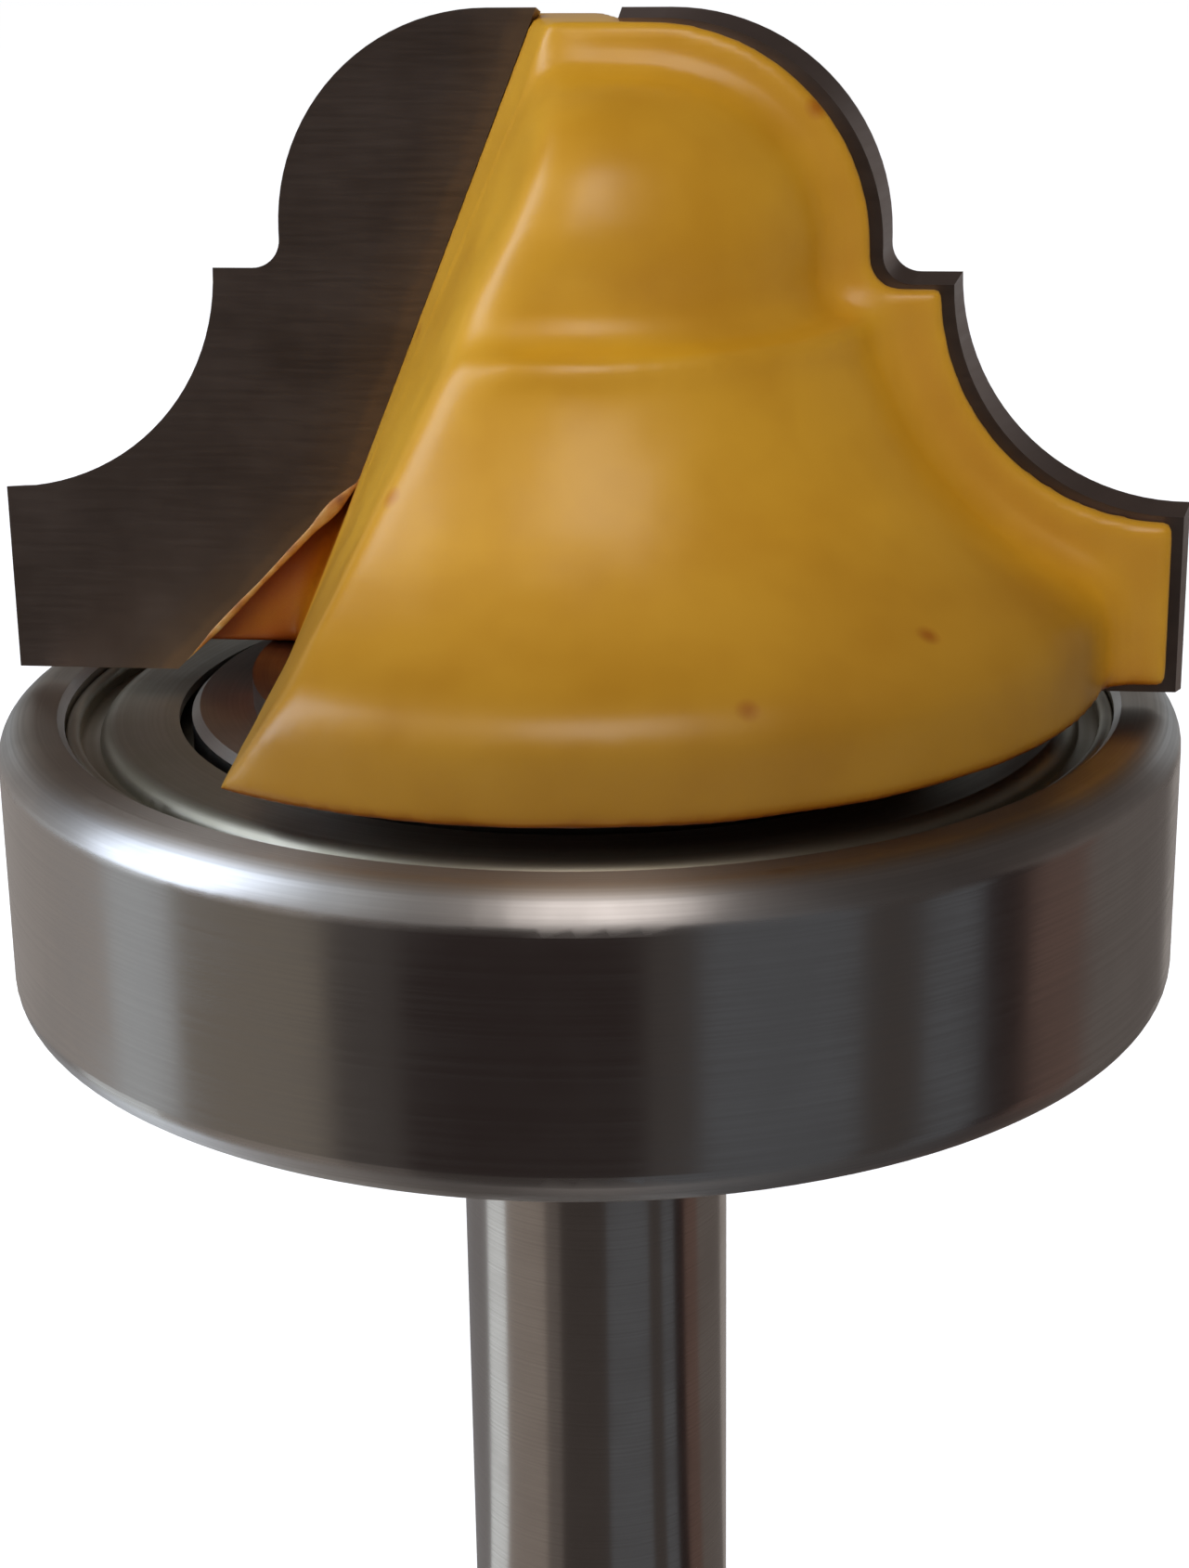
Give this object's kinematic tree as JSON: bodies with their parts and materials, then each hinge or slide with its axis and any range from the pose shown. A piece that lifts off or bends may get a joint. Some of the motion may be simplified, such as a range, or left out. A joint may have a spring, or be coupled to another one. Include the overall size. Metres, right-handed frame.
{
  "type": "profile router bit",
  "caption": "Profile router bit: painted steel head with curved carbide edges, a large shielded guide bearing below it, and a round shank.",
  "frame": {"origin": "centre of the shank's lower end, the lowest point of the part", "axes": "+Z along the axis of rotation from the shank to the cutter head, X along the two wings"},
  "size_m": [0.0508, 0.0508, 0.0834],
  "materials": {
    "head_paint": "glossy yellow enamel",
    "carbide": "ground cemented carbide, dull",
    "shank_steel": "cylindrically ground",
    "bearing_steel": "superfinished, polished",
    "ball_steel": "lapped",
    "shield_sheet": "pressed sheet, satin",
    "cage_sheet": "pressed sheet",
    "plain_steel": "turned",
    "blackened_steel": "black oxide"
  },
  "bodies": {
    "cutter": {"cutter_head": "head_paint", "carbide_tip_1": "carbide", "carbide_tip_2": "carbide", "shank": "shank_steel", "bearing_bush": "plain_steel", "inner_ring": "bearing_steel", "spacer_washer": "plain_steel", "lock_washer": "plain_steel", "lock_collar": "blackened_steel", "clamp_screw_1": "blackened_steel", "clamp_screw_2": "blackened_steel"},
    "outer_race": {"outer_ring": "bearing_steel", "shield_top": "shield_sheet", "shield_bottom": "shield_sheet"},
    "ball_train": {"cage_top": "cage_sheet", "cage_bottom": "cage_sheet", "cage_rivets": "cage_sheet", "ball_01": "ball_steel", "ball_02": "ball_steel", "ball_03": "ball_steel", "ball_04": "ball_steel", "ball_05": "ball_steel", "ball_06": "ball_steel", "ball_07": "ball_steel", "ball_08": "ball_steel", "ball_09": "ball_steel"}
  },
  "joints": [
    {"name": "guide_spin", "type": "hinge", "parent": "cutter", "child": "outer_race", "pos_m": [0, 0, 0.04835], "axis": [0, 0, 1], "continuous": true},
    {"name": "ball_train_spin", "type": "hinge", "parent": "cutter", "child": "ball_train", "pos_m": [0, 0, 0.04835], "axis": [0, 0, 1], "continuous": true}
  ],
  "couplings": [
    {"joint": "ball_train_spin", "follows": "guide_spin", "ratio": 0.6042}
  ]
}
